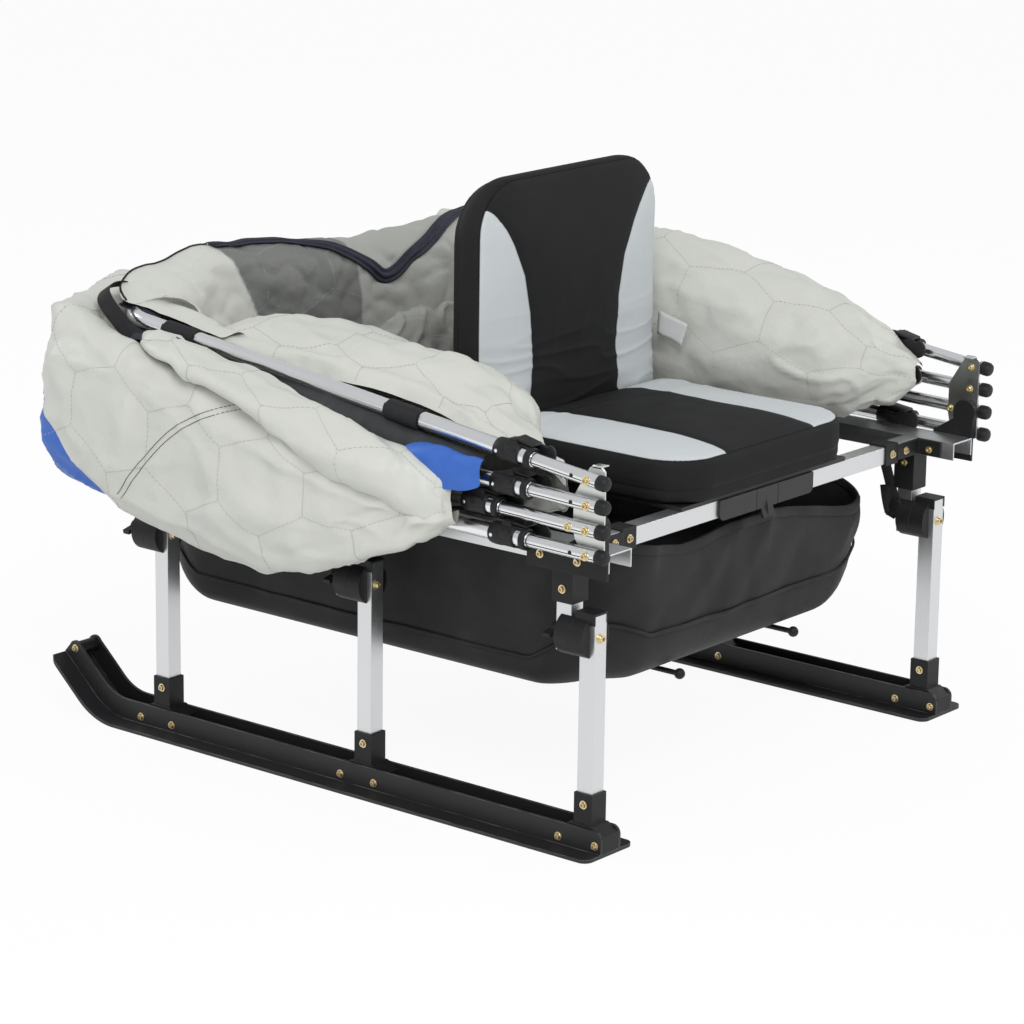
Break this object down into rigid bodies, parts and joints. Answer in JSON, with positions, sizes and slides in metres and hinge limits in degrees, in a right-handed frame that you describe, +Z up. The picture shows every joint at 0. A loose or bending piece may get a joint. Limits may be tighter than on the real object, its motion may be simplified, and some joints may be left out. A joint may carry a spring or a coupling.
{
  "type": "portable flip-over ice fishing shelter on a ski sled, canopy folded",
  "caption": "Portable ice fishing shelter: a ski sled with folding legs, padded seat, cargo bag and a quilted canopy folded back on telescoping bows.",
  "frame": {"origin": "on the ground, under the middle of the overall width and length", "axes": "+Z up, -Y the end that the seat faces, +Y the towing end with the ski tips, +X the seated person's left-hand side"},
  "size_m": [1.1752, 1.0506, 0.86],
  "materials": {
    "rail_aluminium": "satin anodised extrusion",
    "pole_aluminium": "bright drawn tube",
    "moulded_black": "fine moulded grain",
    "ski_black": "satin black with worn edges",
    "black_steel": "powder coat",
    "zinc_plate": "bright zinc",
    "bolt_zinc": "yellow passivated zinc",
    "seat_black": "coated woven polyester",
    "seat_grey": "coated woven polyester",
    "bag_black": "coated woven polyester",
    "canopy_grey": "quilted thermal fabric with a soft sheen",
    "canopy_blue": "coated woven polyester",
    "canopy_trim": "zip tape and binding",
    "strap_black": "webbing and hook-and-loop tape",
    "thread_dark": "twisted thread"
  },
  "bodies": {
    "frame": {"left_rail": "rail_aluminium", "right_rail": "rail_aluminium", "seat_end_bar": "rail_aluminium", "seat_support_bar": "rail_aluminium", "tow_end_bar": "rail_aluminium", "left_bar_brackets": "moulded_black", "right_bar_brackets": "moulded_black", "left_hub_bracket": "moulded_black", "right_hub_bracket": "moulded_black", "left_leg_brackets": "moulded_black", "right_leg_brackets": "moulded_black", "left_posts": "rail_aluminium", "right_posts": "rail_aluminium", "left_post_knuckles": "moulded_black", "right_post_knuckles": "moulded_black", "left_wing_knobs": "moulded_black", "right_wing_knobs": "moulded_black", "seat_pan": "moulded_black", "seat_hanger": "moulded_black", "seat_cushion": "seat_black", "seat_hinge_leaves": "black_steel", "cargo_bag": "bag_black", "bag_rods": "moulded_black"},
    "left_ski": {"left_ski_runner": "ski_black", "left_ski_blocks": "moulded_black", "left_legs": "rail_aluminium", "left_leg_knuckles": "moulded_black"},
    "right_ski": {"right_ski_runner": "ski_black", "right_ski_blocks": "moulded_black", "right_legs": "rail_aluminium", "right_leg_knuckles": "moulded_black"},
    "backrest": {"backrest_cushion": "seat_black", "backrest_hinge_leaves": "black_steel"},
    "canopy": {"left_hub_plate": "zinc_plate", "right_hub_plate": "zinc_plate", "top_bow": "pole_aluminium", "second_bow": "pole_aluminium", "third_bow": "pole_aluminium", "lower_bow": "pole_aluminium", "bow_clamps": "moulded_black", "canopy_left": "canopy_grey", "canopy_right": "canopy_grey", "canopy_rear": "canopy_grey"}
  },
  "joints": [
    {"name": "left_ski_fold", "type": "hinge", "parent": "frame", "child": "left_ski", "pos_m": [-0.415, -0.07429, 0.303], "axis": [0, 1, 0], "range_deg": [0, 75]},
    {"name": "right_ski_fold", "type": "hinge", "parent": "frame", "child": "right_ski", "pos_m": [0.415, -0.07429, 0.303], "axis": [0, -1, 0], "range_deg": [0, 75]},
    {"name": "backrest_fold", "type": "hinge", "parent": "frame", "child": "backrest", "pos_m": [0, -0.10229, 0.5193], "axis": [1, 0, 0], "range_deg": [0, 85]},
    {"name": "canopy_lift", "type": "hinge", "parent": "frame", "child": "canopy", "pos_m": [0, -0.50529, 0.469], "axis": [1, 0, 0], "range_deg": [0, 120]}
  ]
}
